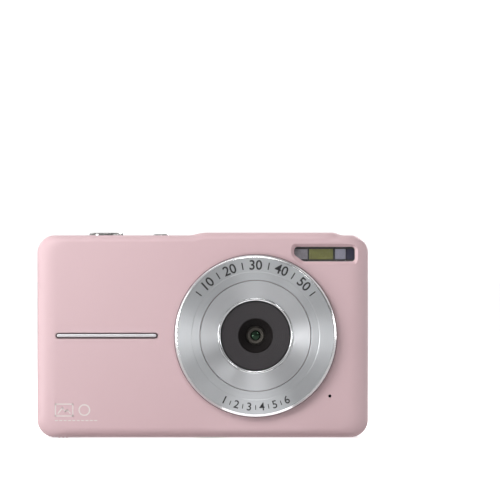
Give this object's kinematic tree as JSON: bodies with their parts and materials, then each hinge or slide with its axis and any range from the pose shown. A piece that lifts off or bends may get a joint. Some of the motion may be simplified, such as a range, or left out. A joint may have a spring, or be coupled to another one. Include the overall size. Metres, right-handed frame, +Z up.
{
  "type": "compact digital camera",
  "caption": "Flat rounded pocket camera with a large fixed lens ring, a flash strip, top buttons, a rear screen on a raised plateau and a round control pad.",
  "frame": {"origin": "bottom centre of the whole camera, standing upright", "axes": "the lens looks along -Y, the screen faces +Y, +X is to the right of someone facing the lens, +Z is up"},
  "size_m": [0.095, 0.0244, 0.0591],
  "materials": {
    "pink_shell": "soft satin painted plastic, pale pink",
    "brushed_ring": "circular brushed aluminium",
    "chrome_trim": "bright chrome plating",
    "satin_key": "satin silver paint on plastic",
    "grey_metal": "plain pressed steel",
    "brass_parts": "turned brass",
    "black_plastic": "matte black moulded plastic",
    "chip_black": "moulded epoxy",
    "circuit_green": "green solder mask",
    "flex_amber": "amber polyimide film",
    "grey_rubber": "matte silicone",
    "white_light_pipe": "milky light pipe",
    "phosphor": "yellow-green phosphor gel behind a ribbed diffuser",
    "smoke_lens": "smoked translucent plastic",
    "dark_filter": "dark blue filter",
    "clear_window": "clear polished window",
    "lens_glass": "coated lens element",
    "screen_glass": "polished dark display glass",
    "battery_label": "shrink-wrapped blue-grey label"
  },
  "bodies": {
    "case": {"front_cover": "pink_shell", "rear_cover": "pink_shell", "lens_ring_outer": "brushed_ring", "lens_ring_inner": "brushed_ring", "lens_black_ring": "black_plastic", "lens_barrel": "grey_metal", "lens_glass": "lens_glass", "lens_holder": "black_plastic", "image_sensor": "chip_black", "sensor_board": "circuit_green", "flash_window": "clear_window", "flash_housing": "black_plastic", "flash_diffuser": "smoke_lens", "flash_lamp": "phosphor", "focus_lamp": "smoke_lens", "light_sensor": "dark_filter", "flash_board": "circuit_green", "trim_bar": "chrome_trim", "shutter_spring": "grey_metal", "shutter_switch": "grey_metal", "power_switch": "grey_metal", "top_key_board": "circuit_green", "key_pad_sheet": "grey_rubber", "key_board": "circuit_green", "status_lamp": "white_light_pipe", "screen_window": "screen_glass", "lcd_panel": "screen_glass", "lcd_frame": "grey_metal", "lcd_flex": "flex_amber", "main_board": "circuit_green", "processor": "chip_black", "card_slot": "grey_metal", "usb_socket": "grey_metal", "speaker": "black_plastic", "microphone": "brass_parts", "battery": "battery_label", "battery_tray": "black_plastic", "battery_contact_1": "brass_parts", "battery_contact_2": "brass_parts", "battery_contact_3": "brass_parts", "battery_door_pin": "grey_metal", "tripod_nut": "brass_parts", "case_screw_1": "grey_metal", "case_screw_2": "grey_metal", "case_screw_3": "grey_metal", "case_screw_4": "grey_metal", "board_screw_1": "grey_metal", "board_screw_2": "grey_metal"},
    "shutter": {"shutter_button": "chrome_trim"},
    "power": {"power_button": "chrome_trim"},
    "zoom_wide": {"zoom_wide_button": "satin_key"},
    "zoom_tele": {"zoom_tele_button": "satin_key"},
    "menu": {"menu_button": "satin_key"},
    "play": {"play_button": "satin_key"},
    "ok": {"ok_button": "satin_key"},
    "rocker": {"nav_rocker": "black_plastic"},
    "ring": {"nav_ring": "brushed_ring"},
    "door": {"battery_door": "pink_shell"},
    "latch": {"battery_latch": "pink_shell"}
  },
  "joints": [
    {"name": "shutter_press", "type": "slide", "parent": "case", "child": "shutter", "axis": [0, 0, -1], "range_m": [0, 0.0006], "stiffness_N_per_m": 300, "springref_m": -0.0005, "deforming": ["shutter_spring"]},
    {"name": "power_press", "type": "slide", "parent": "case", "child": "power", "axis": [0, 0, -1], "range_m": [0, 0.0003], "stiffness_N_per_m": 400, "springref_m": -0.0004},
    {"name": "zoom_wide_press", "type": "slide", "parent": "case", "child": "zoom_wide", "axis": [0, -1, 0], "range_m": [0, 0.00035], "stiffness_N_per_m": 400, "springref_m": -0.0004},
    {"name": "zoom_tele_press", "type": "slide", "parent": "case", "child": "zoom_tele", "axis": [0, -1, 0], "range_m": [0, 0.00035], "stiffness_N_per_m": 400, "springref_m": -0.0004},
    {"name": "menu_press", "type": "slide", "parent": "case", "child": "menu", "axis": [0, -1, 0], "range_m": [0, 0.00035], "stiffness_N_per_m": 400, "springref_m": -0.0004},
    {"name": "play_press", "type": "slide", "parent": "case", "child": "play", "axis": [0, -1, 0], "range_m": [0, 0.00035], "stiffness_N_per_m": 400, "springref_m": -0.0004},
    {"name": "ok_press", "type": "slide", "parent": "case", "child": "ok", "axis": [0, -1, 0], "range_m": [0, 0.00035], "stiffness_N_per_m": 400, "springref_m": -0.0004},
    {"name": "nav_up_down", "type": "hinge", "parent": "case", "child": "rocker", "pos_m": [-0.0356, 0.00775, 0.02965], "axis": [1, 0, 0], "range_deg": [-2, 2], "stiffness_Nm_per_rad": 0.05},
    {"name": "nav_left_right", "type": "hinge", "parent": "rocker", "child": "ring", "pos_m": [-0.0356, 0.00775, 0.02965], "axis": [0, 0, 1], "range_deg": [-2, 2], "stiffness_Nm_per_rad": 0.05},
    {"name": "battery_door_hinge", "type": "hinge", "parent": "case", "child": "door", "pos_m": [-0.0083, -0.0016, 0.00125], "axis": [0, -1, 0], "range_deg": [0, 90]},
    {"name": "battery_latch_slide", "type": "slide", "parent": "door", "child": "latch", "axis": [-1, 0, 0], "range_m": [0, 0.0012]}
  ]
}
